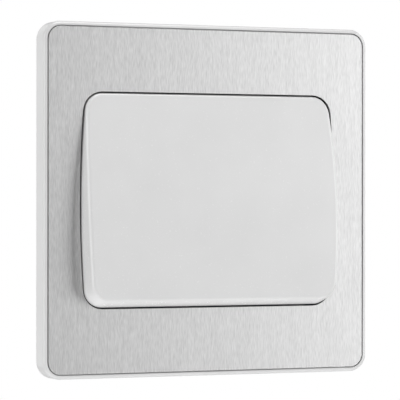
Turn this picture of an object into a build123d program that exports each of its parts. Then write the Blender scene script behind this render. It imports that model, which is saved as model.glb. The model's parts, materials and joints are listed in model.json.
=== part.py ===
from build123d import *
import os
from math import cos, hypot, radians, sin, tan

os.makedirs("parts", exist_ok=True)

# Frame: +X to the right and +Z up as seen from the front, +Y into the wall.
# The wall's surface is Y = 0 and the front of the switch faces -Y.
# The origin is midway between the two box screws.

# Shared by all the pieces
weld = 0.5
edge_share = 0.95
least_corner = 0.5

# Plate: white moulded surround
plate_width = 95.0
plate_height = 95.0
plate_depth = 6.0
plate_corner = 4.8
side_border = 10.2
lip_width = 1.05
lip_rounding = 0.95
skirt = 1.5
ledge_reach = 3.0
ledge = 0.8

# Plate: grey carrier behind the steel
deck = 1.8
carrier_clearance = 0.1
collar_wall = 1.0
collar_side_gap = 0.1
collar_end_gap = 0.4
collar_clearance = 0.1
arm_clearance = 0.5
pad_height = 0.35
pad_length = 9.0
pad_width = 2.4
pad_spread = 20.0

# Plate: steel skin set into the surround
sheet = 0.6
sheet_below_lip = 0.15
groove = 0.3
opening_height = 58.0
opening_corner = 5.5
side_bow_radius = 324.0

# Rocker
tilt = 6.0
pivot_behind_front = 6.0
face_proud = 4.6
face_radius = 211.0
rocker_gap = 0.5
rocker_corner = 5.0
rocker_wall = 1.8
rocker_draft = 4.0
rocker_rounding = 1.0
rim_cover = 0.1
rib = 1.2
rib_across = 14.0
rib_inner = 12.0
rib_outer = 27.0
rib_shorter = 1.6

# Cradle under the rocker
cradle_width = 34.0
cradle_height = 34.0
cradle_plate = 1.6
cradle_front = 5.0
cradle_corner = 2.0
cheek = 2.0
cheek_spread = 11.6
cheek_radius = 2.9
trunnion_radius = 1.9
trunnion_clearance = 0.05
side_clearance = 0.25
stem_radius = 3.3
stem_reach = 5.0
stem_bore = 2.1
gusset = 1.4
clip = 1.4
clip_width = 6.0
clip_spread = 9.0
clip_catch = 0.8
clip_hook = 0.8
clip_clearance = 0.1

# Plunger and its spring
plunger_clearance = 0.06
plunger_head = 3.0
nose_radius = 1.5
nose_reach = 7.6
spring_wire = 0.4
spring_radius = 1.5
spring_turns = 4.0
spring_clearance = 0.05

# Mounting yoke
yoke_sheet = 1.2
yoke_edge_gap = 0.5
yoke_corner = 3.0
yoke_collar_gap = 0.3
arm_height = 18.0
arm_inner = 20.5
joggle_gap = 0.4
joggle_angle = 45.0
fixing_centres = 60.3
slot_width = 4.2
slot_length = 8.0
peg_radius = 1.3
peg_clearance = 0.2
peg_side_inset = 5.9
peg_end_inset = 10.0
swage_length = 40.0
swage_width = 5.0
swage_depth = 0.7
catch_length = 10.0
catch_spread = 25.0
catch_reach = 0.9
catch_clearance = 0.2
notch_width = 9.0
notch_height = 1.2

# Switch body
body_width = 34.0
body_height = 44.8
body_corner = 1.5
body_wall = 1.4
cover_plate = 2.0
cover_lip = 1.5
cover_clearance = 0.15
cover_slot = 7.0
bearing = 2.0
bearing_radius = 2.9
ear_reach = 25.0
ear_height = 17.0
housing_ear = 2.5
floor = 2.3
back_chamfer = 0.6
access_chamfer = 0.4
strip_gauge = 8.0
strip_gauge_radius = 1.0
stop_height = 15.5
stop_width = 10.0
stop_pad = 3.0
stop_clearance = 0.1
post = 3.5
shield_side_inset = 2.7
shield_end_overlap = 3.0
shield_gap = 38.4
shield_corner = 3.0
shield_clearance = 0.25
rivet_radius = 1.25
rivet_clearance = 0.05
rivet_head = 2.1
rivet_head_height = 0.8
rivet_head_rounding = 0.5
rivet_upset = 1.9
rivet_dimple = 0.8
rivet_dimple_depth = 0.5
rivet_x = 22.7
rivet_z = 5.0

# Moving contact
seesaw_tilt = 8.0
seesaw_sheet = 0.8
seesaw_width = 6.0
seesaw_end = 1.7
seesaw_corner = 1.2
nose_clearance = 0.1
tip_radius = 1.4
tip_height = 0.6
tip_shank = 0.85
tip_upset = 0.25
tip_upset_radius = 1.1
contact_clearance = 0.05
fixed_tip_radius = 1.8
fixed_tip_height = 0.8

# Terminals
terminal_width = 7.0
terminal_length = 8.0
terminal_front_wall = 1.2
terminal_back_wall = 2.4
terminal_edge = 0.4
wire_bore = 2.0
wire_bore_length = 6.5
terminal_clearance = 0.2
tip_to_terminal = 1.8
terminal_x = 6.5
contact_bar = 0.8
contact_bar_width = 4.8
post_width = 6.0
post_thickness = 3.0
post_lug = 0.8
post_lug_gap = 0.2
post_lug_rise = 1.4
entry_clearance = 0.6
screw_radius = 1.5
screw_clearance = 0.04
screw_backed_off = 0.3
screw_head = 2.6
screw_head_height = 1.6
screw_head_clearance = 0.4
screw_slot = 0.6
screw_slot_depth = 0.8
barrier = 1.2
barrier_start = 1.0
bench_width = 3.2
bench_length = 2.0

# Earth parts on the yoke
earth_x = -23.0
earth_top = -10.6
earth_width = 6.0
earth_margin = 0.4
earth_wire_clearance = 0.2
earth_spigot = 1.3
earth_spigot_upset = 0.3
earth_upset_radius = 1.8
earth_screw_lift = 1.0
leaf = 0.25
leaf_width = 4.0
leaf_side_inset = 16.5
leaf_foot = 3.0
leaf_span = 8.0
leaf_toe = 1.5
window_margin = 1.0

# Places that follow from the plate's size
opening_width = plate_width - 2 * side_border
yoke_side_relief = collar_side_gap + collar_wall + yoke_collar_gap
yoke_end_relief = collar_end_gap + collar_wall + yoke_collar_gap
peg_x = plate_width / 2 - peg_side_inset
peg_z = plate_height / 2 - peg_end_inset
leaf_x = plate_width / 2 - leaf_side_inset
ring_middle = (opening_height / 2 + yoke_end_relief + plate_height / 2 - skirt - yoke_edge_gap) / 2
shield_width = opening_width - 2 * shield_side_inset
shield_height = opening_height + 2 * shield_end_overlap

# Levels along Y, from the wall forwards
wall_y = 0.0
front_y = wall_y - plate_depth
sheet_front = front_y + sheet_below_lip
deck_front = sheet_front + sheet
deck_back = deck_front + deck
ledge_back = deck_front + ledge
yoke_front = deck_back + pad_height
yoke_back = yoke_front + yoke_sheet
pivot_y = front_y + pivot_behind_front

# Rocker sizes worked out about its pivot
face_reach = pivot_behind_front + face_proud
end_radius = hypot(opening_height / 2 - rocker_gap, pivot_behind_front)
raised_rim = sheet_front + rim_cover - pivot_y
rim_y = (raised_rim + end_radius * sin(radians(tilt))) / cos(radians(tilt))
rim_spread = (pivot_behind_front + rim_y) * tan(radians(rocker_draft))
rim_half_width = opening_width / 2 - rocker_gap + rim_spread
pressed_rim = pivot_y + rim_y * cos(radians(tilt)) + end_radius * sin(radians(tilt))
cradle_back = cradle_plate - cradle_front
cheek_outer = cheek_spread + cheek / 2

# Terminal blocks along Z, at the ends of the switch body
block_end = body_height / 2 - body_wall - terminal_clearance
block_start = block_end - terminal_length
block_middle = (block_end + block_start) / 2

# Moving contact, which reaches almost to the terminal blocks
tip_z = block_start - tip_to_terminal - fixed_tip_radius
tip_arm = tip_z / cos(radians(seesaw_tilt))
seesaw_length = 2 * (tip_arm + seesaw_end)
edge_y = pivot_y + nose_reach + nose_radius + nose_clearance + seesaw_sheet
tip_drop = tip_height * cos(radians(seesaw_tilt))
tip_swing = (tip_arm + tip_radius) * sin(radians(seesaw_tilt))
fixed_tip_front = edge_y + tip_drop + tip_swing + contact_clearance
bar_front = fixed_tip_front + fixed_tip_height
bar_back = bar_front + contact_bar

# Terminal blocks along Y, and the housing around them
terminal_bore_y = bar_back - wire_bore
terminal_front = terminal_bore_y - wire_bore - terminal_front_wall
terminal_back = terminal_bore_y + wire_bore + terminal_back_wall
floor_y = terminal_back
housing_back = floor_y + floor
housing_front = wall_y + cover_plate
common_bar_back = floor_y - terminal_clearance
common_bar_front = common_bar_back - contact_bar
screw_tip = terminal_bore_y + wire_bore + screw_backed_off
terminal_places = [(-terminal_x, -1), (terminal_x, -1), (0.0, 1)]


def front_plane(y):
    """A drawing plane at depth y: its x is +X, its y is +Z and it faces the viewer."""
    return Plane(origin=(0, y, 0), x_dir=(1, 0, 0), z_dir=(0, -1, 0))


def slab(outline, front, back):
    """An outline drawn from the front, made solid between two depths."""
    return extrude(front_plane(back) * outline, back - front)


def brick(x, y, z):
    """A rectangular block given by its two ends along each axis."""
    size = (x[1] - x[0], y[1] - y[0], z[1] - z[0])
    middle = ((x[0] + x[1]) / 2, (y[0] + y[1]) / 2, (z[0] + z[1]) / 2)
    return Pos(*middle) * Box(*size)


def rod_y(radius, front, back, x=0.0, z=0.0):
    """A round bar along Y."""
    return Pos(x, (front + back) / 2, z) * Rot(90, 0, 0) * Cylinder(radius, back - front)


def rod_z(radius, low, high, x=0.0, y=0.0):
    """A round bar along Z."""
    return Pos(x, y, (low + high) / 2) * Cylinder(radius, high - low)


def rod_x(radius, left, right, y=0.0, z=0.0):
    """A round bar along X."""
    return Pos((left + right) / 2, y, z) * Rot(0, 90, 0) * Cylinder(radius, right - left)


def plate_outline(inset):
    """The square plate with round corners, drawn in from its edge."""
    corner = max(plate_corner - inset, least_corner)
    return RectangleRounded(plate_width - 2 * inset, plate_height - 2 * inset, corner)


def bowed_outline(half_width, half_height, bow):
    """Straight top and bottom, with sides that swell outwards a little."""
    edge_x = half_width - bow + (bow**2 - half_height**2) ** 0.5
    top = Line((-edge_x, half_height), (edge_x, half_height))
    right = ThreePointArc((edge_x, half_height), (half_width, 0), (edge_x, -half_height))
    bottom = Line((edge_x, -half_height), (-edge_x, -half_height))
    left = ThreePointArc((-edge_x, -half_height), (-half_width, 0), (-edge_x, half_height))
    return make_face([top, right, bottom, left])


def opening_outline(side_relief, end_relief):
    """The plate's opening for the rocker, widened at its sides and at its ends."""
    half_width = opening_width / 2 + side_relief
    half_height = opening_height / 2 + end_relief
    outline = bowed_outline(half_width, half_height, side_bow_radius + side_relief)
    return fillet(outline.vertices(), opening_corner + side_relief)


def four_ways(x, z):
    """The four mirrored places of a point."""
    return [(x, z), (-x, z), (x, -z), (-x, -z)]


def surround_catch():
    """One snap bead, at the right-hand skirt: flat towards the yoke, sloped towards the wall."""
    seat = yoke_back + catch_clearance
    slope_end = seat + catch_reach
    root = skirt / 2
    profile = Polyline((root, seat), (-catch_reach, seat), (0, slope_end), (root, slope_end), close=True)
    bead = extrude(make_face(profile), catch_length)
    return Pos(0, 0, -catch_length / 2) * bead


def surround_frame():
    """White moulding: rounded lip, ledge for the steel's edge, skirt and snap beads."""
    frame = slab(plate_outline(0), front_y, wall_y)
    rim = frame.faces().sort_by(Axis.Y)[0].edges()
    frame = fillet(rim, min(lip_rounding, lip_width * edge_share))
    frame -= slab(plate_outline(lip_width), front_y, deck_front)
    frame -= slab(plate_outline(ledge_reach), deck_front, ledge_back)
    frame -= slab(plate_outline(skirt), ledge_back, wall_y)
    bead = surround_catch()
    for offset in (-catch_spread, catch_spread):
        for turn, reach in ((0, plate_width), (90, plate_height), (180, plate_width), (270, plate_height)):
            place = Pos(reach / 2 - skirt, 0, offset)
            frame += Rot(0, turn, 0) * place * bead
    notch_z = -plate_height / 2
    notch = brick(
        (-notch_width / 2, notch_width / 2),
        (wall_y - notch_height, wall_y),
        (notch_z, notch_z + skirt),
    )
    return frame - notch


def carrier_frame():
    """Grey moulding that backs the steel: deck, collar round the rocker, pegs and pads."""
    carrier = slab(plate_outline(ledge_reach + carrier_clearance), deck_front, deck_back)
    carrier += slab(plate_outline(skirt + carrier_clearance), ledge_back, deck_back)
    collar_back = wall_y - collar_clearance
    collar = opening_outline(collar_side_gap + collar_wall, collar_end_gap + collar_wall)
    carrier += slab(collar, deck_back, collar_back)
    arm_gap = arm_height / 2 + arm_clearance
    across = (-plate_width / 2, plate_width / 2)
    carrier -= brick(across, (deck_back, collar_back), (-arm_gap, arm_gap))
    carrier -= slab(opening_outline(collar_side_gap, collar_end_gap), deck_front, collar_back)
    window_width = leaf_foot + leaf_span + leaf_toe + 2 * window_margin
    window = Pos(leaf_x, ring_middle) * Rectangle(window_width, leaf_width + 2 * window_margin)
    carrier -= slab(window, deck_front, deck_back)
    for x, z in four_ways(peg_x, peg_z):
        carrier += rod_y(peg_radius, deck_back, yoke_back - peg_clearance, x, z)
    rim_x = plate_width / 2 - skirt - yoke_edge_gap
    side_pad = (opening_width / 2 + yoke_side_relief + rim_x) / 2
    for x, z in four_ways(side_pad, pad_spread):
        pad = Pos(x, z) * SlotOverall(pad_length, pad_width, rotation=90)
        carrier += slab(pad, deck_back, yoke_front)
    for x, z in four_ways(pad_spread, ring_middle + swage_width):
        pad = Pos(x, z) * SlotOverall(pad_length, pad_width)
        carrier += slab(pad, deck_back, yoke_front)
    return carrier


def steel_faceplate():
    """Flat steel skin with the rocker's opening punched in it."""
    outline = plate_outline(lip_width + groove) - opening_outline(0, 0)
    return slab(outline, sheet_front, deck_front)


def yoke_arm():
    """Section of the right-hand arm, from the dished ring back to the wall and in to the body."""
    ring_x = opening_width / 2 + yoke_side_relief
    drop = wall_y - yoke_back
    knee = ring_x + joggle_gap
    drop_run = drop / tan(radians(joggle_angle))
    bend = yoke_sheet * tan(radians(joggle_angle / 2))
    outer = plate_width / 2 - skirt - yoke_edge_gap - weld
    front_side = [
        (outer, yoke_front),
        (knee + drop_run + 2 * bend, yoke_front),
        (knee + 2 * bend, wall_y - yoke_sheet),
        (arm_inner, wall_y - yoke_sheet),
    ]
    back_side = [
        (arm_inner, wall_y),
        (knee + bend, wall_y),
        (knee + drop_run + bend, yoke_back),
        (outer, yoke_back),
    ]
    profile = make_face(Polyline(*front_side, *back_side, close=True))
    return Pos(0, 0, -arm_height / 2) * extrude(profile, arm_height)


def mounting_yoke():
    """Pressed steel plate: dished ring, two arms with screw slots, swages and an earth tab."""
    corner = yoke_corner
    width = plate_width - 2 * (skirt + yoke_edge_gap)
    height = plate_height - 2 * (skirt + yoke_edge_gap)
    ring = slab(RectangleRounded(width, height, corner), yoke_front, yoke_back)
    for side in (-1, 1):
        tool = Pos(0, side * ring_middle) * SlotOverall(swage_length, swage_width)
        pressed = Pos(0, side * ring_middle) * SlotOverall(
            swage_length - yoke_sheet, swage_width - yoke_sheet
        )
        ring += slab(tool, yoke_back, yoke_back + swage_depth)
        ring -= slab(pressed, yoke_front, yoke_front + swage_depth)
    ring -= slab(opening_outline(yoke_side_relief, yoke_end_relief), yoke_front, yoke_back)
    drop_run = (wall_y - yoke_back) / tan(radians(joggle_angle))
    gap_x = opening_width / 2 + yoke_side_relief + joggle_gap + drop_run
    ring -= brick((-gap_x, gap_x), (yoke_front, yoke_back), (-arm_height / 2, arm_height / 2))
    arm = yoke_arm()
    yoke = ring + arm + mirror(arm, Plane.YZ)
    tab_half = earth_width / 2 + earth_margin
    tab_z = (earth_top - terminal_length - earth_margin, weld - arm_height / 2)
    yoke += brick((earth_x - tab_half, earth_x + tab_half), (wall_y - yoke_sheet, wall_y), tab_z)
    for side in (-1, 1):
        slot = Pos(side * fixing_centres / 2, 0) * SlotOverall(slot_length, slot_width)
        yoke -= slab(slot, wall_y - yoke_sheet, wall_y)
    for x, z in four_ways(rivet_x, rivet_z):
        yoke -= rod_y(rivet_radius + rivet_clearance, wall_y - yoke_sheet, wall_y, x, z)
    for x, z in four_ways(peg_x, peg_z):
        yoke -= rod_y(peg_radius + peg_clearance, yoke_front, yoke_back, x, z)
    spigot_z = earth_top - terminal_length / 2
    hole = earth_spigot + rivet_clearance
    return yoke - rod_y(hole, wall_y - yoke_sheet, wall_y, earth_x, spigot_z)


def rocker_form(inset):
    """The rocker's outer form about its pivot, or the same form a wall's thickness inside it."""
    half = rim_half_width - inset / cos(radians(rocker_draft))
    height = end_radius + weld
    outline = bowed_outline(half, height, side_bow_radius - inset)
    blank = extrude(front_plane(rim_y) * outline, face_reach + rim_y, taper=rocker_draft)
    ends = rod_x(end_radius - inset, -opening_width, opening_width)
    face_drum = rod_x(
        face_radius - inset, -opening_width, opening_width, face_radius - face_reach
    )
    form = blank & ends & face_drum
    depth = face_reach + rim_y
    corners = form.edges().filter_by(
        lambda edge: abs(edge.position_at(0).Y - edge.position_at(1).Y) > depth / 3
    )
    return fillet(corners, max(rocker_corner - inset, least_corner))


def rocker_paddle():
    """Hollow white moulding with a softly rounded face, stiffening ribs and clip legs."""
    outer = rocker_form(0)
    face = outer.faces().sort_by(Axis.Y)[0]
    outer = fillet(face.edges(), min(rocker_rounding, rocker_wall * edge_share))
    paddle = outer - rocker_form(rocker_wall)
    web = rocker_form(rocker_wall / 2)
    span_x = opening_width / 2
    span_z = opening_height / 2
    long_back = -cradle_front
    short_back = -cradle_front - rib_shorter
    ribs = Part()
    for z in (-rib_across, rib_across):
        across = (-rib_inner, rib_inner)
        ribs += brick(across, (-face_reach, long_back), (z - rib / 2, z + rib / 2))
        ribs += brick((-span_x, span_x), (-face_reach, short_back), (z - rib / 2, z + rib / 2))
    for x in (-rib_inner, rib_inner):
        ribs += brick((x - rib / 2, x + rib / 2), (-face_reach, long_back), (-rib_across, rib_across))
        ribs += brick((x - rib / 2, x + rib / 2), (-face_reach, short_back), (-span_z, span_z))
    for x in (-rib_outer, rib_outer):
        ribs += brick((x - rib / 2, x + rib / 2), (-face_reach, short_back), (-span_z, span_z))
    leg_x = cradle_width / 2 + clip_clearance
    hook_front = cradle_back + clip_clearance
    for side in (-1, 1):
        for z in (-clip_spread, clip_spread):
            reach_z = (z - clip_width / 2, z + clip_width / 2)
            leg = brick((leg_x, leg_x + clip), (-face_reach, hook_front + clip_hook), reach_z)
            hook = brick((leg_x - clip_catch, leg_x), (hook_front, hook_front + clip_hook), reach_z)
            pair = leg + hook
            ribs += pair if side > 0 else mirror(pair, Plane.YZ)
    return paddle + (ribs & web)


def rocker_cradle():
    """Inner moulding: plate, two cheeks with trunnions, and the stem that guides the plunger."""
    outline = RectangleRounded(cradle_width, cradle_height, cradle_corner)
    cradle = slab(outline, -cradle_front, cradle_back)
    bearing_end = cheek_outer + side_clearance + bearing
    for side in (-1, 1):
        inner = side * (cheek_outer - cheek)
        outer = side * cheek_outer
        low, high = min(inner, outer), max(inner, outer)
        cradle += brick((low, high), (cradle_back, 0), (-cheek_radius, cheek_radius))
        cradle += rod_x(cheek_radius, low, high)
        end = side * bearing_end
        cradle += rod_x(trunnion_radius, min(outer, end), max(outer, end))
    cradle += rod_y(stem_radius, cradle_back, stem_reach)
    gusset_end = cheek_outer - cheek
    cradle += brick((-gusset_end, gusset_end), (cradle_back, 0), (-gusset / 2, gusset / 2))
    return cradle - rod_y(stem_bore, cradle_back, stem_reach)


def plunger():
    """Round pin with a smaller ball nose that pushes the see-saw."""
    body = rod_y(stem_bore - plunger_clearance, nose_reach - plunger_head - nose_radius, stem_reach)
    neck = rod_y(nose_radius, stem_reach, nose_reach)
    return body + neck + Pos(0, nose_reach, 0) * Sphere(nose_radius)


def plunger_spring():
    """Helical compression spring between the floor of the stem and the plunger."""
    front = cradle_back + spring_wire / 2 + spring_clearance
    back = nose_reach - plunger_head - nose_radius - spring_wire / 2 - spring_clearance
    length = back - front
    path = Helix(pitch=length / spring_turns, height=length, radius=spring_radius)
    start = Plane(origin=path.position_at(0), z_dir=path.tangent_at(0))
    coil = sweep(start * RegularPolygon(spring_wire / 2, 6), path, is_frenet=True)
    return Pos(0, front, 0) * Rot(-90, 0, 0) * coil


def at_rest(piece):
    """A rocker piece turned about the pivot to where the switch rests, top pressed in."""
    return Pos(0, pivot_y, 0) * Rot(-tilt, 0, 0) * piece


def mechanism_cover():
    """Front of the switch body: trunnion bearings, stop pads, posts and a shield behind the rocker."""
    outline = RectangleRounded(body_width, body_height, body_corner)
    outline += RectangleRounded(2 * ear_reach, ear_height, body_corner)
    cover = slab(outline, wall_y, housing_front)
    shield = RectangleRounded(shield_width, shield_height, shield_corner)
    shield -= Rectangle(shield_width, shield_gap)
    cover += slab(shield, pressed_rim + shield_clearance, housing_front)
    lip_width_x = body_width - 2 * (body_wall + cover_clearance)
    lip_height_z = body_height - 2 * (body_wall + cover_clearance)
    lip_ring = Rectangle(lip_width_x, lip_height_z)
    lip_ring -= Rectangle(lip_width_x - 2 * body_wall, lip_height_z - 2 * body_wall)
    cover += slab(lip_ring, housing_front, housing_front + cover_lip)
    inner = cheek_outer + side_clearance
    stop_top = pivot_y + cradle_back * cos(radians(tilt)) + stop_height * sin(radians(tilt))
    stop_front = stop_top + stop_clearance + stop_pad / 2 * sin(radians(tilt))
    for side in (-1, 1):
        left, right = sorted((side * inner, side * (inner + bearing)))
        cover += rod_x(bearing_radius, left, right, pivot_y)
        foot = (pivot_y, housing_front)
        cover += brick((left, right), foot, (-bearing_radius, bearing_radius))
        middle = side * stop_height
        pad_z = (middle - stop_pad / 2, middle + stop_pad / 2)
        cover += brick((-stop_width / 2, stop_width / 2), (stop_front, housing_front), pad_z)
    for x, side in terminal_places:
        middle = side * block_middle
        post_x = (x - post / 2, x + post / 2)
        post_z = (middle - post / 2, middle + post / 2)
        cover += brick(post_x, (wall_y, terminal_front), post_z)
    cover -= brick((-inner, inner), (front_y, housing_front + cover_lip), (-cover_slot, cover_slot))
    bore = trunnion_radius + trunnion_clearance
    cover -= rod_x(bore, -ear_reach, ear_reach, pivot_y)
    for x, z in four_ways(rivet_x, rivet_z):
        cover -= rod_y(rivet_radius + rivet_clearance, wall_y, housing_front, x, z)
    return cover


def mechanism_housing():
    """Rear of the switch body: open box with pockets, wire entries and screw holes."""
    outline = RectangleRounded(body_width, body_height, body_corner)
    housing = slab(outline, housing_front, housing_back)
    hollow = Rectangle(body_width - 2 * body_wall, body_height - 2 * body_wall)
    housing -= slab(hollow, housing_front, floor_y)
    back_edges = housing.faces().sort_by(Axis.Y)[-1].edges()
    housing = chamfer(back_edges, min(back_chamfer, body_wall / 2))
    ears = RectangleRounded(2 * ear_reach, ear_height, body_corner)
    ears -= Rectangle(body_width - body_wall, 2 * ear_height)
    housing += slab(ears, housing_front, housing_front + housing_ear)
    block_x = terminal_width / 2 + terminal_clearance
    for x, side in terminal_places:
        low, high = sorted((side * (block_start + barrier_start), side * (block_end + weld)))
        barrier_y = (terminal_front + barrier_start, floor_y)
        for edge in (x - block_x - barrier, x + block_x):
            housing += brick((edge, edge + barrier), barrier_y, (low, high))
    for side in (-1, 1):
        low, high = side * tip_z - bench_length / 2, side * tip_z + bench_length / 2
        bench_x = (-bench_width / 2, bench_width / 2)
        housing += brick(bench_x, (bar_back, floor_y), (low, high))
    for x, side in terminal_places:
        entry = wire_bore + entry_clearance
        low, high = sorted((side * block_end, side * (body_height / 2 + weld)))
        housing -= rod_z(entry, low, high, x, terminal_bore_y)
        access = screw_head + screw_head_clearance
        housing -= rod_y(access, floor_y, housing_back, x, side * block_middle)
        mouth = Cone(access + access_chamfer, access, access_chamfer)
        mouth_y = housing_back - access_chamfer / 2
        housing -= Pos(x, mouth_y, side * block_middle) * Rot(90, 0, 0) * mouth
    for x, z in four_ways(rivet_x, rivet_z):
        housing -= rod_y(
            rivet_radius + rivet_clearance, housing_front, housing_front + housing_ear, x, z
        )
    gauge = rod_x(strip_gauge_radius, -strip_gauge / 2, strip_gauge / 2, housing_back)
    return housing - gauge


def housing_rivets():
    """Four rivets that hold yoke, cover and housing together."""
    rivets = []
    front = wall_y - yoke_sheet
    back = housing_front + housing_ear
    for x, z in four_ways(rivet_x, rivet_z):
        head = rod_y(rivet_head, front - rivet_head_height, front, x, z)
        rounding = min(rivet_head_rounding, rivet_head_height * edge_share)
        head = fillet(head.faces().sort_by(Axis.Y)[0].edges(), rounding)
        shank = rod_y(rivet_radius, front, back, x, z)
        upset = rod_y(rivet_upset, back, back + rivet_head_height, x, z)
        end = back + rivet_head_height
        upset -= rod_y(rivet_dimple, end - rivet_dimple_depth, end, x, z)
        rivets.append(head + shank + upset)
    return Compound(children=rivets)


def seesaw_rest(piece):
    """A see-saw piece turned about the knife edge to where it rests, lower contact closed."""
    return Pos(0, edge_y, 0) * Rot(seesaw_tilt, 0, 0) * piece


def contact_seesaw():
    """Copper strip with a rivet hole near each end; its back face rocks on the knife edge."""
    outline = RectangleRounded(seesaw_width, seesaw_length, seesaw_corner)
    strip = slab(outline, -seesaw_sheet, 0)
    for z in (-tip_arm, tip_arm):
        strip -= rod_y(tip_shank, -seesaw_sheet, 0, 0, z)
    return strip


def moving_contact_tips():
    """Two silver rivets: contact face towards the wall, upset end towards the front."""
    tips = []
    for z in (-tip_arm, tip_arm):
        face = rod_y(tip_radius, 0, tip_height, 0, z)
        shank = rod_y(tip_shank, -seesaw_sheet, 0, 0, z)
        upset = rod_y(tip_upset_radius, -seesaw_sheet - tip_upset, -seesaw_sheet, 0, z)
        tips.append(seesaw_rest(face + shank + upset))
    return Compound(children=tips)


def fixed_contact_tips():
    """Two silver rivets on the fixed contact arms."""
    tips = []
    for side in (-1, 1):
        face = rod_y(fixed_tip_radius, fixed_tip_front, bar_front, 0, side * tip_z)
        shank = rod_y(tip_shank, bar_front, bar_back, 0, side * tip_z)
        tips.append(face + shank)
    return Compound(children=tips)


def terminal_block(width, front, bore_y, back, low, high, mouth):
    """Brass block with a blind wire bore along Z and a tapped hole from the back."""
    block = brick((-width / 2, width / 2), (front, back), (low, high))
    block = chamfer(block.edges().filter_by(Axis.Z), terminal_edge)
    if mouth < 0:
        block -= rod_z(wire_bore, low, low + wire_bore_length, 0, bore_y)
    else:
        block -= rod_z(wire_bore, high - wire_bore_length, high, 0, bore_y)
    middle = (low + high) / 2
    return block - rod_y(screw_radius + screw_clearance, bore_y, back, 0, middle)


def body_block(x, side):
    """One of the three terminal blocks inside the housing."""
    low, high = sorted((side * block_start, side * block_end))
    block = terminal_block(
        terminal_width, terminal_front, terminal_bore_y, terminal_back, low, high, side
    )
    return Pos(x, 0, 0) * block


def contact_arm(x, side):
    """Flat arm from a terminal block in to its fixed contact, with the tip's rivet hole."""
    half = contact_bar_width / 2
    near = tip_z - half
    reach = sorted((side * near, side * (tip_z + half)))
    left, right = sorted((x, 0.0))
    arm = brick((left - half, right + half), (bar_front, bar_back), reach)
    neck = sorted((side * near, side * (block_start + weld)))
    arm += brick((x - half, x + half), (bar_front, bar_back), neck)
    return arm - rod_y(tip_shank, bar_front, bar_back, 0, side * tip_z)


def line_terminal(x, side):
    """A line terminal: its block and its contact arm in one piece of brass."""
    return body_block(x, side) + contact_arm(x, side)


def common_terminal():
    """Common block, its bar along the floor, and the knife-edge post between two lugs."""
    x, side = terminal_places[1]
    half = contact_bar_width / 2
    bar_y = (common_bar_front, common_bar_back)
    piece = body_block(x, side)
    piece += brick((x - half, x + half), bar_y, (-block_start - weld, post_thickness / 2))
    lug_x = post_width / 2 + post_lug_gap + post_lug
    lug_z = (-post_thickness / 2, post_thickness / 2)
    piece += brick((-lug_x, x + half), bar_y, lug_z)
    shoulder = edge_y + contact_clearance + post_thickness / 2
    piece += brick((-post_width / 2, post_width / 2), (shoulder, common_bar_front), lug_z)
    top = shoulder - post_thickness / 2
    knife = Polyline((shoulder, lug_z[0]), (top, 0), (shoulder, lug_z[1]), close=True)
    wedge = extrude(Plane.YZ * make_face(knife), post_width / 2, both=True)
    piece += wedge
    for sign in (-1, 1):
        inner, outer = sorted((sign * (lug_x - post_lug), sign * lug_x))
        lug = (edge_y - seesaw_sheet - post_lug_rise, common_bar_front)
        piece += brick((inner, outer), lug, lug_z)
    return piece


def slotted_screw(tip, head_back):
    """Cheese-head screw along Y, its slot facing back."""
    head_front = head_back - screw_head_height
    screw = rod_y(screw_radius, tip, head_front) + rod_y(screw_head, head_front, head_back)
    slot_z = (-screw_slot / 2, screw_slot / 2)
    slot = brick((-screw_head, screw_head), (head_back - screw_slot_depth, head_back), slot_z)
    return screw - slot


def terminal_screws():
    """The three terminal screws, backed off ready for wires."""
    screw = slotted_screw(screw_tip, housing_back)
    places = [Pos(x, 0, side * block_middle) for x, side in terminal_places]
    return Compound(children=[place * screw for place in places])


def earth_levels():
    """Front, bore and back of the earth block. Its wire passes behind the body's shield."""
    bore = housing_front + earth_wire_clearance + wire_bore
    return wall_y, bore, bore + wire_bore + terminal_back_wall


def earth_terminal():
    """Brass block staked to the yoke's tab by a spigot."""
    front, bore, back = earth_levels()
    low = earth_top - terminal_length
    block = terminal_block(earth_width, front, bore, back, low, earth_top, -1)
    middle = earth_top - terminal_length / 2
    spigot = rod_y(earth_spigot, wall_y - yoke_sheet, front, 0, middle)
    upset_front = wall_y - yoke_sheet - earth_spigot_upset
    upset = rod_y(earth_upset_radius, upset_front, wall_y - yoke_sheet, 0, middle)
    return Pos(earth_x, 0, 0) * (block + spigot + upset)


def earth_screw():
    """Screw of the earth terminal, backed off."""
    _, bore, back = earth_levels()
    tip = bore + wire_bore + screw_backed_off
    head_back = back + screw_head_height + earth_screw_lift
    return Pos(earth_x, 0, earth_top - terminal_length / 2) * slotted_screw(tip, head_back)


def earth_contact_strip():
    """Sprung leaf that stands on the yoke and touches the back of the steel with its bow."""
    start = leaf_x - (leaf_foot + leaf_span + leaf_toe) / 2
    rise = start + leaf_foot
    crest = rise + leaf_span / 2
    fall = rise + leaf_span
    end = fall + leaf_toe
    base = yoke_front - leaf
    outline = [
        Line((start, yoke_front), (start, base)),
        Line((start, base), (rise, base)),
        ThreePointArc((rise, base), (crest, deck_front), (fall, base)),
        Line((fall, base), (end, base)),
        Line((end, base), (end, yoke_front)),
        Line((end, yoke_front), (fall, yoke_front)),
        ThreePointArc((fall, yoke_front), (crest, deck_front + leaf), (rise, yoke_front)),
        Line((rise, yoke_front), (start, yoke_front)),
    ]
    strip = extrude(make_face(outline), leaf_width)
    return Pos(0, 0, ring_middle - leaf_width / 2) * strip


def write(name, shape):
    """One STEP file for each piece."""
    export_step(shape, f"parts/{name}.step")


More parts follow.
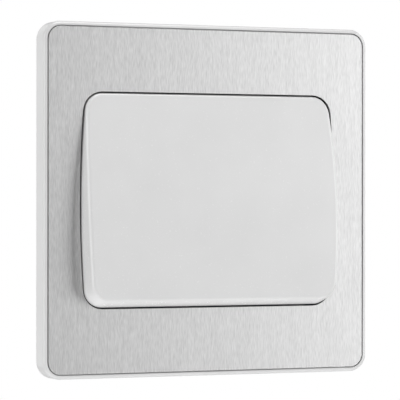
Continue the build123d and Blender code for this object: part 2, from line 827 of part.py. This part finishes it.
write("surround_frame", surround_frame())
write("carrier_frame", carrier_frame())
write("steel_faceplate", steel_faceplate())
write("rocker_paddle", at_rest(rocker_paddle()))
write("rocker_cradle", at_rest(rocker_cradle()))
write("plunger", at_rest(plunger()))
write("plunger_spring", at_rest(plunger_spring()))
write("mounting_yoke", mounting_yoke())
write("mechanism_cover", mechanism_cover())
write("mechanism_housing", mechanism_housing())
write("housing_rivets", housing_rivets())
write("contact_seesaw", seesaw_rest(contact_seesaw()))
write("moving_contact_tips", moving_contact_tips())
write("common_terminal", common_terminal())
write("line_one_terminal", line_terminal(*terminal_places[0]))
write("line_two_terminal", line_terminal(*terminal_places[2]))
write("fixed_contact_tips", fixed_contact_tips())
write("terminal_screws", terminal_screws())
write("earth_terminal", earth_terminal())
write("earth_screw", earth_screw())
write("earth_contact_strip", earth_contact_strip())
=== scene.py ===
import json
from math import asin, cos, pi, radians, sin

import bmesh
import bpy
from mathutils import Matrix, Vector


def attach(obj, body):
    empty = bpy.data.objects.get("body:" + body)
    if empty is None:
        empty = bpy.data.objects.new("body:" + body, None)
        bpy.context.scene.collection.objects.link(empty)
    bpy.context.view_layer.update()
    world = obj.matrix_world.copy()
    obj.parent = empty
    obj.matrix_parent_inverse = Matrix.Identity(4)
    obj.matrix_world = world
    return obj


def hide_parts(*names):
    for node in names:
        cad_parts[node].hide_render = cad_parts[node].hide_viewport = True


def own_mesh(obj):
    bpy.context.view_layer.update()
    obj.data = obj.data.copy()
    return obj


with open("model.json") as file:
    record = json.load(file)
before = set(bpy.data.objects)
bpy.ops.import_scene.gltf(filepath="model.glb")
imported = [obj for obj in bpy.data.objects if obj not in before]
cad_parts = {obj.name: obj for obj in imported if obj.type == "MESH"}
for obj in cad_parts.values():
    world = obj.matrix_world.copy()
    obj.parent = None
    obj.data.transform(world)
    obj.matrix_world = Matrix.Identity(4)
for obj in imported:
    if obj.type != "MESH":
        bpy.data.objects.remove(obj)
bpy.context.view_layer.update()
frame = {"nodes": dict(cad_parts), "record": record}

MM = 0.001

# Steel skin, in millimetres as on its drawing
SKIN_SIDE = 92.3
SKIN_CORNER = 3.45
SKIN_FRONT = -5.85
SKIN_SHEET = 0.6
SKIN_EDGE = 0.1
OPENING_HALF_WIDTH = 37.3
OPENING_HALF_HEIGHT = 29.0
OPENING_CORNER = 5.5
OPENING_BOW = 324.0
SKIN_CORNER_STEPS = 8
OPENING_CORNER_STEPS = 6
OPENING_SIDE_STEPS = 12

# Slotted screws: the middle of each along X and Z, its tip along Y, and its length
SCREW_SHANK = 1.5
SCREW_ROOT = 1.2
SCREW_PITCH = 0.5
SCREW_HEAD = 2.6
SCREW_HEAD_HEIGHT = 1.6
SCREW_RIM = 0.2
SCREW_OVERLAP = 0.1
SCREW_SLOT = 0.6
SCREW_SLOT_DEPTH = 0.8
# A flank and a flat of the thread, as shares of its pitch, and the turns that are cut off its ends
THREAD_FLANK = 0.4
THREAD_FLAT = 0.1
THREAD_SPARE_TURNS = 5
THREAD_LEAD_TURNS = 2
TERMINAL_SCREWS = [(-6.5, -16.8), (6.5, -16.8), (0.0, 16.8)]
TERMINAL_SCREW_TIP = 14.03
TERMINAL_SCREW_LENGTH = 4.4
EARTH_SCREW = (-23.0, -14.6)
EARTH_SCREW_TIP = 6.5
EARTH_SCREW_LENGTH = 4.7

# Spring behind the plunger, about the rocker's pivot
REST_TILT = 6.0
SPRING_RADIUS = 1.5
SPRING_WIRE = 0.4
SPRING_TURNS = 4
SPRING_STEPS_A_TURN = 40
SPRING_FRONT = -3.15
SPRING_BACK = 2.85

# Patterns. Blender's noise stays mostly between these two values
NOISE_LOW = 0.3
NOISE_HIGH = 0.7
PLASTIC_FLOW = 14.0
PLASTIC_GRAIN = 0.5
PLASTIC_RELIEF = 0.004
EVEN = (1, 1, 1)

# The studio, in metres
CAMERA_TARGET = Vector((-0.0003, 0.0, 0.0001))
CAMERA_DISTANCE = 0.6559
CAMERA_TURN = radians(22.787)
CAMERA_ROLL = radians(-0.037)
CAMERA_LENS = 215.94
FLOOR_LEVEL = -0.5
FLOOR_SIZE = 3.0
WORLD_LIGHT = 0.22

# Softboxes: name, degrees to the right of the front, degrees up, distance, width, height, watts
SOFTBOXES = [
    ("key_softbox", 52, 6, 1.2, 1.0, 0.9, 6.55),
    ("edge_softbox", 88, 5, 1.2, 0.7, 0.9, 0.75),
    ("left_softbox", -80, 5, 1.2, 0.7, 0.9, 7.7),
    ("overhead_softbox", 25, 71, 1.0, 0.6, 0.45, 7.2),
    ("low_board", 0, -63, 0.5, 0.9, 0.4, 1.55),
    ("rear_left_softbox", 206, 12, 1.2, 1.4, 1.2, 4.0),
    ("rear_right_softbox", 122, 10, 1.2, 0.7, 0.7, 2.0),
]


def linear(hex_colour):
    """An sRGB hex colour as the linear RGBA that shaders take."""
    channels = [int(hex_colour[i:i + 2], 16) / 255 for i in (1, 3, 5)]
    return [c / 12.92 if c <= 0.04045 else ((c + 0.055) / 1.055) ** 2.4 for c in channels] + [1.0]


def add(tree, kind, inputs=None, **settings):
    """Adds a node, gives it its settings, and sets or links its inputs."""
    node = tree.nodes.new(kind)
    for name, value in settings.items():
        setattr(node, name, value)
    for name, value in (inputs or {}).items():
        if isinstance(value, bpy.types.NodeSocket):
            tree.links.new(value, node.inputs[name])
        else:
            node.inputs[name].default_value = value
    return node


def empty_material(name):
    """A new material whose node tree is empty."""
    material = bpy.data.materials.new(name)
    material.use_nodes = True
    material.node_tree.nodes.clear()
    return material, material.node_tree


def speckle(tree, size_mm, detail=2.0, stretch=EVEN):
    """Soft noise whose blobs are about size_mm across, and longer along an axis that is stretched."""
    place = add(tree, "ShaderNodeTexCoord").outputs["Object"]
    scale = [1 / (size_mm * MM * s) for s in stretch]
    mapping = add(tree, "ShaderNodeMapping", {"Vector": place, "Scale": scale})
    scaled = mapping.outputs["Vector"]
    noise = add(tree, "ShaderNodeTexNoise", {"Vector": scaled, "Scale": 1.0, "Detail": detail})
    return noise.outputs["Fac"]


def surface(tree, colour, grain, rough, depth_mm, own):
    """Ends a material: its grain breaks up its gloss and stands in relief, so a highlight on it is
    never quite even."""
    gloss = add(
        tree, "ShaderNodeMapRange", {"Value": grain, "To Min": rough[0], "To Max": rough[1]}
    )
    relief = add(
        tree, "ShaderNodeBump", {"Height": grain, "Strength": 1.0, "Distance": depth_mm * MM}
    )
    shader = add(
        tree,
        "ShaderNodeBsdfPrincipled",
        {
            "Base Color": colour,
            "Roughness": gloss.outputs["Result"],
            "Normal": relief.outputs["Normal"],
            **own,
        },
    )
    add(tree, "ShaderNodeOutputMaterial", {"Surface": shader.outputs["BSDF"]})


def moulded_plastic(name, dark, light, rough, ior=1.58):
    """Injection-moulded plastic: an even colour with a faint cloud where the melt flowed, and a gloss
    that the tool's spark-eroded grain breaks up. The real grain is about 0.05 mm across and is drawn
    ten times as coarse, so that it shows."""
    material, tree = empty_material(name)
    grain = speckle(tree, PLASTIC_GRAIN, detail=3.0)
    flow = add(
        tree,
        "ShaderNodeMapRange",
        {"Value": speckle(tree, PLASTIC_FLOW), "From Min": NOISE_LOW, "From Max": NOISE_HIGH},
    )
    colour = add(
        tree,
        "ShaderNodeMix",
        {"Factor": flow.outputs["Result"], "A": linear(dark), "B": linear(light)},
        data_type="RGBA",
    )
    surface(tree, colour.outputs["Result"], grain, rough, PLASTIC_RELIEF, {"IOR": ior})
    return material


def worked_metal(name, dark, light, rough, grain_mm, stretch, depth_mm):
    """Bare or plated metal: the marks of its making show in its colour, its gloss and its relief."""
    material, tree = empty_material(name)
    grain = speckle(tree, grain_mm, detail=3.0, stretch=stretch)
    tone = add(
        tree,
        "ShaderNodeMapRange",
        {"Value": grain, "From Min": NOISE_LOW, "From Max": NOISE_HIGH},
    )
    colour = add(
        tree,
        "ShaderNodeMix",
        {"Factor": tone.outputs["Result"], "A": linear(dark), "B": linear(light)},
        data_type="RGBA",
    )
    surface(tree, colour.outputs["Result"], grain, rough, depth_mm, {"Metallic": 1.0})
    return material


def brushed_stainless():
    """Stainless steel brushed upright with a belt: short hairlines that spread each reflection
    sideways, so the sheet is bright on the side of the light and falls off evenly across, with faint
    longer streaks. Its sheared edges are painted a darker grey than its faces: partly the duller cut
    metal, partly painted shade that makes the groove beside them read dark. Real hairlines are about
    0.04 mm apart, and are drawn
    0.14 mm apart and 2 mm long, so that they show."""
    material, tree = empty_material("stainless_steel_brushed")
    hairlines = speckle(tree, 0.14, detail=1.0, stretch=(1, 1, 14))
    streaks = speckle(tree, 0.6, detail=2.0, stretch=(1, 1, 24))
    both = add(tree, "ShaderNodeMix", {"Factor": 0.25, "A": hairlines, "B": streaks})
    tone = add(
        tree,
        "ShaderNodeMapRange",
        {"Value": both.outputs["Result"], "From Min": NOISE_LOW, "From Max": NOISE_HIGH},
    )
    brushed = add(
        tree,
        "ShaderNodeMix",
        {"Factor": tone.outputs["Result"], "A": linear("#CDCDCD"), "B": linear("#E9E9E9")},
        data_type="RGBA",
    )
    # The sheet's two faces look along Y, and whatever doesn't is an edge, painted flat darker grey:
    # partly duller cut metal, partly painted shade for the groove beside it
    normal = add(tree, "ShaderNodeNewGeometry").outputs["Normal"]
    facing = add(tree, "ShaderNodeSeparateXYZ", {"Vector": normal})
    flat = add(tree, "ShaderNodeMath", {0: facing.outputs["Y"]}, operation="ABSOLUTE")
    colour = add(
        tree,
        "ShaderNodeMix",
        {"Factor": flat.outputs["Value"], "A": linear("#9A9A9A"), "B": brushed.outputs["Result"]},
        data_type="RGBA",
    )
    upright = add(tree, "ShaderNodeTangent", direction_type="RADIAL", axis="Z")
    own = {"Metallic": 1.0, "Anisotropic": 0.6, "Tangent": upright.outputs["Tangent"]}
    surface(tree, colour.outputs["Result"], hairlines, (0.3, 0.46), 0.002, own)
    return material


def softbox(name, turn, lift, distance, width, height, power):
    """A rectangular studio light that faces the switch."""
    data = bpy.data.lights.new(name, "AREA")
    data.shape = "RECTANGLE"
    data.size = width
    data.size_y = height
    data.energy = power
    lamp = bpy.data.objects.new(name, data)
    out = cos(radians(lift))
    aim = Vector((sin(radians(turn)) * out, -cos(radians(turn)) * out, sin(radians(lift))))
    lamp.location = aim * distance
    lamp.rotation_euler = (-aim).to_track_quat("-Z", "Y").to_euler()
    lamp.visible_camera = False
    bpy.context.scene.collection.objects.link(lamp)


def studio():
    """Camera at the photograph's angle, pale floor, soft lights and a white surround."""
    data = bpy.data.cameras.new("camera")
    data.lens = CAMERA_LENS
    data.sensor_width = 36.0
    camera = bpy.data.objects.new("camera", data)
    ahead = Vector((sin(CAMERA_TURN), cos(CAMERA_TURN), 0.0))
    camera.location = CAMERA_TARGET - ahead * CAMERA_DISTANCE
    camera.rotation_euler = (radians(90), CAMERA_ROLL, -CAMERA_TURN)
    bpy.context.scene.collection.objects.link(camera)
    bpy.context.scene.camera = camera

    bpy.ops.mesh.primitive_plane_add(size=FLOOR_SIZE, location=(0, 0, FLOOR_LEVEL))
    floor = bpy.context.object
    floor.name = "floor"
    # Matt white paint, so dull that the switch leaves no mirror image in it
    paint = moulded_plastic("floor_matt_paint", "#E6E6E6", "#E9E9E9", (0.6, 0.7))
    floor.data.materials.append(paint)

    for light in SOFTBOXES:
        softbox(*light)

    world = bpy.data.worlds.new("white_studio")
    bpy.context.scene.world = world
    world.use_nodes = True
    tree = world.node_tree
    tree.nodes.clear()
    # Plain white behind the switch, and dimmer where it lights it
    seen = add(tree, "ShaderNodeLightPath").outputs["Is Camera Ray"]
    strength = add(
        tree, "ShaderNodeMapRange", {"Value": seen, "To Min": WORLD_LIGHT, "To Max": 1.0}
    ).outputs["Result"]
    light = add(tree, "ShaderNodeBackground", {"Color": (1, 1, 1, 1), "Strength": strength})
    add(tree, "ShaderNodeOutputWorld", {"Surface": light.outputs["Background"]})

    bpy.context.scene.view_settings.view_transform = "Standard"
    bpy.context.scene.view_settings.look = "None"


def alone(piece):
    """Makes a piece the only selected and active object."""
    bpy.ops.object.mode_set(mode="OBJECT")
    bpy.ops.object.select_all(action="DESELECT")
    piece.select_set(True)
    bpy.context.view_layer.objects.active = piece


def start(name):
    """Names the primitive that was just added, puts its size and place in its mesh, and opens it."""
    piece = bpy.context.object
    piece.name = name
    piece.data.name = name
    alone(piece)
    bpy.ops.object.transform_apply(location=True, rotation=True, scale=True)
    bpy.ops.object.mode_set(mode="EDIT")
    bpy.ops.mesh.select_mode(type="VERT")
    return piece


def pick(kind, test):
    """Selects those vertices, edges or faces of the open mesh that pass a test."""
    bpy.ops.mesh.select_mode(type=kind)
    bpy.ops.mesh.select_all(action="DESELECT")
    shape = bmesh.from_edit_mesh(bpy.context.object.data)
    for part in {"VERT": shape.verts, "EDGE": shape.edges, "FACE": shape.faces}[kind]:
        if test(part):
            part.select_set(True)
    shape.select_flush_mode()
    bmesh.update_edit_mesh(bpy.context.object.data)


def folded(edge):
    """True for an edge between two faces that meet at a clear angle."""
    return len(edge.link_faces) == 2 and edge.calc_face_angle(0) > radians(50)


def close_up(piece, smooth_angle=40):
    """Merges doubles, turns the faces outwards and shades the rounds smooth and the flats flat."""
    alone(piece)
    bpy.ops.object.mode_set(mode="EDIT")
    bpy.ops.mesh.select_mode(type="VERT")
    bpy.ops.mesh.select_all(action="SELECT")
    bpy.ops.mesh.remove_doubles(threshold=0.0005 * MM)
    bpy.ops.mesh.normals_make_consistent(inside=False)
    bpy.ops.object.mode_set(mode="OBJECT")
    bpy.ops.object.shade_smooth_by_angle(angle=radians(smooth_angle))


def finish_piece(piece, finish, body, *nodes):
    """Gives a new piece its material and its body, and hides the CAD nodes that it stands for."""
    piece.data.materials.clear()
    piece.data.materials.append(finishes[finish])
    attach(piece, body)
    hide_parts(*nodes)


def steel_skin():
    """Punched sheet with the rocker's opening in it. The punch rolls its front and back edges."""
    front = SKIN_FRONT * MM
    bpy.ops.mesh.primitive_plane_add(
        size=SKIN_SIDE * MM, location=(0, front, 0), rotation=(pi / 2, 0, 0)
    )
    skin = start("steel_skin")
    bpy.ops.mesh.select_all(action="SELECT")
    bpy.ops.mesh.bevel(
        offset=SKIN_CORNER * MM, segments=SKIN_CORNER_STEPS, affect="VERTICES"
    )
    bpy.ops.mesh.select_all(action="SELECT")
    bpy.ops.mesh.delete(type="ONLY_FACE")

    # The opening's outline, drawn from its top left round to the right. Each half is a straight run,
    # a corner, a long bowed side and another corner
    corner_z = OPENING_HALF_HEIGHT - OPENING_CORNER
    bow_x = OPENING_HALF_WIDTH - OPENING_BOW
    lean = asin(corner_z / (OPENING_BOW - OPENING_CORNER))
    corner_x = bow_x + (OPENING_BOW - OPENING_CORNER) * cos(lean)
    bpy.ops.mesh.primitive_plane_add(
        size=MM, location=(-corner_x * MM, front, OPENING_HALF_HEIGHT * MM), rotation=(pi / 2, 0, 0)
    )
    bpy.ops.mesh.merge(type="CENTER")
    for side in (1, -1):
        run = (2 * side * corner_x * MM, 0, 0)
        bpy.ops.mesh.extrude_vertices_move(TRANSFORM_OT_translate={"value": run})
        corners = [
            (corner_x, corner_z, pi / 2 - lean, OPENING_CORNER_STEPS),
            (bow_x, 0.0, 2 * lean, OPENING_SIDE_STEPS),
            (corner_x, -corner_z, pi / 2 - lean, OPENING_CORNER_STEPS),
        ]
        for x, z, turn, steps in corners:
            middle = (side * x * MM, front, side * z * MM)
            bpy.ops.mesh.spin(steps=steps, angle=turn, center=middle, axis=(0, -1, 0))
    bpy.ops.mesh.select_all(action="SELECT")
    bpy.ops.mesh.remove_doubles(threshold=0.002 * MM)
    bpy.ops.mesh.fill()
    bpy.ops.mesh.select_all(action="SELECT")
    bpy.ops.mesh.extrude_region_move(TRANSFORM_OT_translate={"value": (0, SKIN_SHEET * MM, 0)})
    pick("EDGE", folded)
    bpy.ops.mesh.bevel(offset=SKIN_EDGE * MM, segments=3, profile=0.5)
    close_up(skin)
    bpy.ops.object.mode_set(mode="EDIT")
    pick("FACE", lambda face: abs(face.normal.y) > 0.999)
    bpy.ops.mesh.faces_shade_flat()
    bpy.ops.object.mode_set(mode="OBJECT")
    finish_piece(skin, "brushed_steel_skin", "wall_body", "steel_faceplate")


def slotted_screw(name, x, z, tip, length):
    """Cheese-head machine screw along Y: rolled thread, rounded head and a slot sawn across it."""
    head_front = tip + length - SCREW_HEAD_HEIGHT
    crest, root = SCREW_SHANK * MM, SCREW_ROOT * MM
    turns = int((head_front - tip) / SCREW_PITCH) + THREAD_SPARE_TURNS

    # One tooth of the thread beside the axis, carried round and along it
    bpy.ops.mesh.primitive_plane_add(size=MM, location=(x * MM + root, 0, z * MM))
    screw = start(name)
    bpy.ops.mesh.select_all(action="SELECT")
    bpy.ops.mesh.merge(type="CENTER")
    rise = crest - root
    flank = SCREW_PITCH * THREAD_FLANK * MM
    flat = SCREW_PITCH * THREAD_FLAT * MM
    for move in ((rise, flank, 0), (0, flat, 0), (-rise, flank, 0), (0, flat, 0)):
        bpy.ops.mesh.extrude_vertices_move(TRANSFORM_OT_translate={"value": move})
    bpy.ops.object.mode_set(mode="OBJECT")
    bpy.context.scene.cursor.location = (x * MM, 0, z * MM)
    bpy.ops.object.origin_set(type="ORIGIN_CURSOR")
    thread = screw.modifiers.new("thread", "SCREW")
    thread.axis = "Y"
    thread.steps = 32
    thread.render_steps = 32
    thread.iterations = turns
    thread.screw_offset = SCREW_PITCH * MM
    thread.use_merge_vertices = True
    thread.merge_threshold = 0.001 * MM
    bpy.ops.object.modifier_apply(modifier="thread")
    bpy.ops.object.transform_apply(location=True, rotation=True, scale=True)
    bpy.ops.object.mode_set(mode="EDIT")
    bpy.ops.mesh.select_all(action="SELECT")
    bpy.ops.mesh.remove_doubles(threshold=0.001 * MM)
    bpy.ops.transform.translate(value=(0, (tip - THREAD_LEAD_TURNS * SCREW_PITCH) * MM, 0))
    for level, keep_front in ((tip, False), (head_front + SCREW_OVERLAP, True)):
        bpy.ops.mesh.select_all(action="SELECT")
        bpy.ops.mesh.bisect(
            plane_co=(0, level * MM, 0),
            plane_no=(0, 1, 0),
            clear_inner=not keep_front,
            clear_outer=keep_front,
            threshold=0.0001 * MM,
        )
    bpy.ops.mesh.select_all(action="SELECT")
    bpy.ops.mesh.fill_holes(sides=0)
    close_up(screw, 30)

    # The head, with its rim rounded and the slot cut out of its back
    bpy.ops.mesh.primitive_cylinder_add(
        vertices=48,
        radius=SCREW_HEAD * MM,
        depth=SCREW_HEAD_HEIGHT * MM,
        location=(x * MM, (tip + length - SCREW_HEAD_HEIGHT / 2) * MM, z * MM),
        rotation=(-pi / 2, 0, 0),
    )
    head = start(name + "_head")
    pick("EDGE", folded)
    bpy.ops.mesh.bevel(offset=SCREW_RIM * MM, segments=3, profile=0.5)
    bpy.ops.object.mode_set(mode="OBJECT")
    bpy.ops.mesh.primitive_cube_add(
        size=MM,
        location=(x * MM, (tip + length) * MM, z * MM),
        scale=(3 * SCREW_HEAD, 2 * SCREW_SLOT_DEPTH, SCREW_SLOT),
    )
    cutter = start("slot_saw")
    bpy.ops.object.mode_set(mode="OBJECT")
    alone(head)
    slot = head.modifiers.new("slot", "BOOLEAN")
    slot.object = cutter
    slot.operation = "DIFFERENCE"
    slot.solver = "EXACT"
    bpy.ops.object.modifier_apply(modifier="slot")
    bpy.data.objects.remove(cutter)
    close_up(head, 40)

    head.select_set(True)
    screw.select_set(True)
    bpy.context.view_layer.objects.active = screw
    bpy.ops.object.join()
    return screw


def copied_screw(screw, name, run_x, run_z):
    """The same screw with its own mesh, in another place."""
    twin = screw.copy()
    twin.data = screw.data.copy()
    twin.name = twin.data.name = name
    bpy.context.scene.collection.objects.link(twin)
    twin.location = (run_x * MM, 0, run_z * MM)
    alone(twin)
    bpy.ops.object.transform_apply(location=True, rotation=True, scale=True)
    return twin


def plunger_spring():
    """Coil of round spring wire behind the plunger, cut square at both ends."""
    length = SPRING_BACK - SPRING_FRONT
    bpy.ops.mesh.primitive_circle_add(
        vertices=16,
        radius=SPRING_WIRE / 2 * MM,
        fill_type="NGON",
        location=(SPRING_RADIUS * MM, 0, 0),
    )
    spring = start("plunger_spring_coil")
    bpy.ops.mesh.select_all(action="SELECT")
    bpy.ops.object.mode_set(mode="OBJECT")
    coil = spring.modifiers.new("coil", "SCREW")
    coil.axis = "Y"
    coil.angle = 2 * pi * SPRING_TURNS
    coil.steps = coil.render_steps = SPRING_STEPS_A_TURN * SPRING_TURNS
    coil.screw_offset = length * MM
    bpy.ops.object.modifier_apply(modifier="coil")
    bpy.ops.object.mode_set(mode="EDIT")
    bpy.ops.mesh.select_all(action="SELECT")
    bpy.ops.transform.translate(value=(0, SPRING_FRONT * MM, 0))
    bpy.ops.mesh.fill_holes(sides=0)
    bpy.ops.object.mode_set(mode="OBJECT")
    spring.rotation_euler = (radians(-REST_TILT), 0, 0)
    bpy.ops.object.transform_apply(location=True, rotation=True, scale=True)
    close_up(spring, 40)
    return spring


finishes = {
    # Clip-on surround: white polycarbonate from a finely spark-eroded tool, with a soft gloss
    "white_surround": moulded_plastic(
        "polycarbonate_moulded_gloss", "#D0D0D0", "#D4D4D4", (0.28, 0.36)
    ),
    # Front sheet: upright hairlines that draw each light out sideways into a soft bright side
    "brushed_steel_skin": brushed_stainless(),
    # Rocker: the same white, a little glossier all over than the surround, so that its edges catch
    # light
    "white_rocker": moulded_plastic(
        "polycarbonate_moulded_satin", "#D4D4D4", "#D7D7D7", (0.22, 0.3)
    ),
    # Carrier: near-black moulding; its black is painted shade, set behind the gap round the rocker so
    # that the gap reads as a dark line
    "dark_moulding": moulded_plastic(
        "abs_black_moulded", "#161616", "#1B1B1B", (0.5, 0.62), ior=1.52
    ),
    # Cover, cradle: glass-filled nylon, mid grey and dull, because its fibres come to the surface
    "grey_moulding": moulded_plastic(
        "nylon_glass_filled_moulded", "#54575A", "#5C5F62", (0.5, 0.62)
    ),
    # Housing: pressed urea resin, pale grey, harder and a little glossier than the nylon
    "pale_grey_moulding": moulded_plastic(
        "urea_resin_moulded", "#B9BCBE", "#C2C5C6", (0.42, 0.52)
    ),
    # Plunger: slippery acetal, warm white with a waxy gloss
    "white_acetal": moulded_plastic("acetal_moulded", "#E8E8E2", "#EDEDE8", (0.3, 0.4), ior=1.48),
    # Spring wire and earth leaf: drawn and rolled steel, grey, with fine lines along the pull. The
    # real die lines are about 0.03 mm apart and are drawn five times as coarse
    "spring_steel": worked_metal(
        "spring_steel_drawn", "#8E9092", "#A6A8AA", (0.28, 0.4), 0.15, (6, 1, 1), 0.002
    ),
    # Yoke: zinc-plated strip, cool and satin, clouded in soft patches of 1.6 mm
    "zinc_plated_steel": worked_metal(
        "mild_steel_zinc_plated", "#A9ADB3", "#C3C6C9", (0.3, 0.46), 1.6, EVEN, 0.003
    ),
    # Rivets: zinc-plated, but brighter and warmer than the yoke, because the setting punch burnished
    # them and left them softly uneven
    "plated_rivet": worked_metal(
        "rivet_steel_zinc_plated", "#B6B3AC", "#CBC9C3", (0.22, 0.34), 0.5, EVEN, 0.002
    ),
    # See-saw contact: rolled copper, pink-brown, with rolling lines along it. The real lines are
    # about 0.05 mm apart and are drawn at 0.18 mm
    "copper_strip": worked_metal(
        "copper_strip_rolled", "#B56A4A", "#C98261", (0.26, 0.38), 0.18, (1, 1, 12), 0.002
    ),
    # Contact rivets: coined silver alloy, the brightest metal here, glossy almost to a mirror
    "silver_contact": worked_metal(
        "silver_alloy_coined", "#D4D2CC", "#E4E3DF", (0.18, 0.3), 0.3, EVEN, 0.002
    ),
    # Terminals: extruded and machined brass, yellow, with tool lines along the bar. The real lines
    # are about 0.05 mm apart and are drawn at 0.16 mm
    "brass": worked_metal(
        "brass_machined", "#B59A58", "#C9AF6B", (0.24, 0.38), 0.16, (1, 1, 9), 0.003
    ),
    # Screws: turned steel with a thin zinc plate, a little darker than the yoke
    "plated_screw": worked_metal(
        "screw_steel_zinc_plated", "#A4A8AE", "#C0C3C7", (0.26, 0.4), 0.4, EVEN, 0.003
    ),
}

for part in frame["record"]["subparts"]:
    frame["nodes"][part["node"]].material_slots[0].material = finishes[part["material_slot"]]

steel_skin()
(first_x, first_z), *others = TERMINAL_SCREWS
first = slotted_screw(
    "terminal_screw_1", first_x, first_z, TERMINAL_SCREW_TIP, TERMINAL_SCREW_LENGTH
)
screws = [first]
for i, (x, z) in enumerate(others, 2):
    screws.append(copied_screw(first, f"terminal_screw_{i}", x - first_x, z - first_z))
for screw in screws:
    finish_piece(screw, "plated_screw", "wall_body", "terminal_screws")
earth = slotted_screw("earth_screw_threaded", *EARTH_SCREW, EARTH_SCREW_TIP, EARTH_SCREW_LENGTH)
finish_piece(earth, "plated_screw", "wall_body", "earth_screw")
spring = plunger_spring()
finish_piece(spring, "spring_steel", "rocker", "plunger_spring")
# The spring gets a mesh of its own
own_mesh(spring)

studio()
